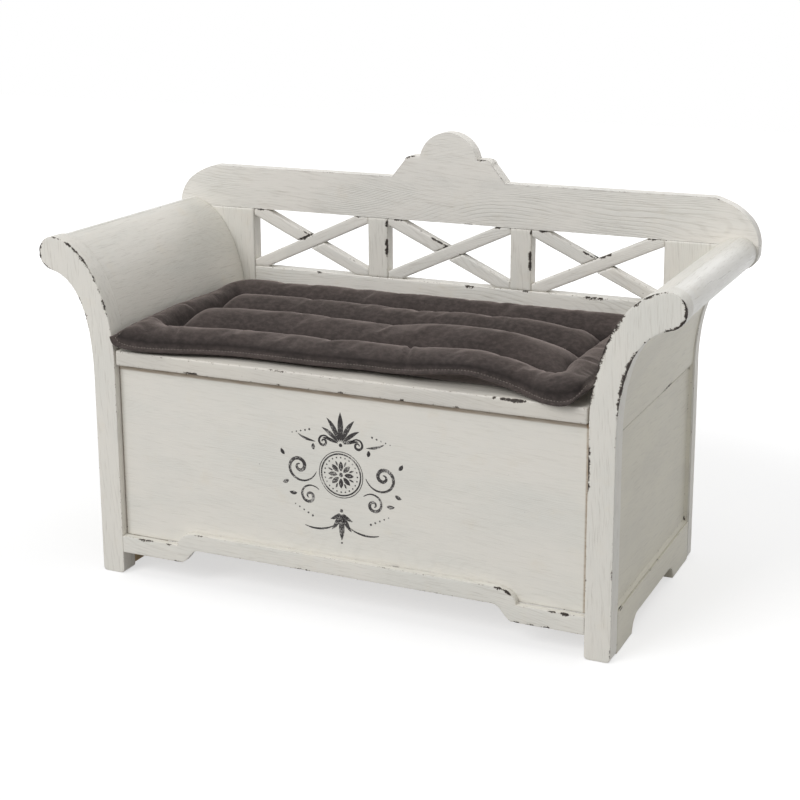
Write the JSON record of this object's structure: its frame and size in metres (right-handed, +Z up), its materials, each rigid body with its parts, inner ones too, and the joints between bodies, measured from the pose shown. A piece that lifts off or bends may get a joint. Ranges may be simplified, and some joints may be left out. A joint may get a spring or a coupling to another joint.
{
  "type": "storage bench",
  "caption": "Painted wooden storage bench with scrolled arms, a crested back with crossed bars, a lifting seat over a chest and a channelled seat pad.",
  "frame": {"origin": "on the floor, under the middle of the bench's box", "axes": "+X along the bench, to the right as it is seen from the front, +Y from its front to its back, +Z up"},
  "size_m": [1.279, 0.5675, 0.838],
  "materials": {
    "paint": "matte",
    "paint_ends": "matte",
    "bare_wood": "matte",
    "brass": "satin",
    "steel": "satin",
    "pad_velvet": "matte"
  },
  "bodies": {
    "bench": {"arm_inner_board_left": "paint", "arm_inner_board_right": "paint", "arm_outer_board_left": "paint_ends", "arm_outer_board_right": "paint_ends", "arm_roll_left": "paint", "arm_roll_right": "paint", "back_low_rail": "paint", "back_stile_left": "paint", "back_stile_right": "paint", "back_top_rail": "paint", "batten_leaf_left": "brass", "batten_leaf_middle": "brass", "batten_leaf_right": "brass", "chest_floor": "bare_wood", "floor_bearer": "bare_wood", "floor_cleat_left": "bare_wood", "floor_cleat_right": "bare_wood", "front_apron": "paint", "front_panel": "paint", "front_post_left": "paint", "front_post_right": "paint", "hinge_batten": "paint", "hinge_pin_left": "steel", "hinge_pin_middle": "steel", "hinge_pin_right": "steel", "left_falling_bar": "paint", "left_rising_bar": "paint", "middle_falling_bar": "paint", "middle_rising_bar": "paint", "rear_panel": "paint", "rear_post_left": "paint", "rear_post_right": "paint", "rear_rail": "paint", "right_falling_bar": "paint", "right_rising_bar": "paint", "seat_cleat_left": "bare_wood", "seat_cleat_right": "bare_wood", "side_lining_left": "bare_wood", "side_lining_right": "bare_wood", "side_panel_left": "paint_ends", "side_panel_right": "paint_ends", "side_rail_left": "paint_ends", "side_rail_right": "paint_ends"},
    "lid": {"lid_cleat_left": "bare_wood", "lid_cleat_middle": "bare_wood", "lid_cleat_right": "bare_wood", "lid_leaf_left": "brass", "lid_leaf_middle": "brass", "lid_leaf_right": "brass", "seat_lid": "paint", "seat_pad": "pad_velvet"}
  },
  "joints": [
    {"name": "lid_hinge", "type": "hinge", "parent": "bench", "child": "lid", "pos_m": [0, 0.2167, 0.458], "axis": [-1, 0, 0], "range_deg": [0, 65]}
  ]
}
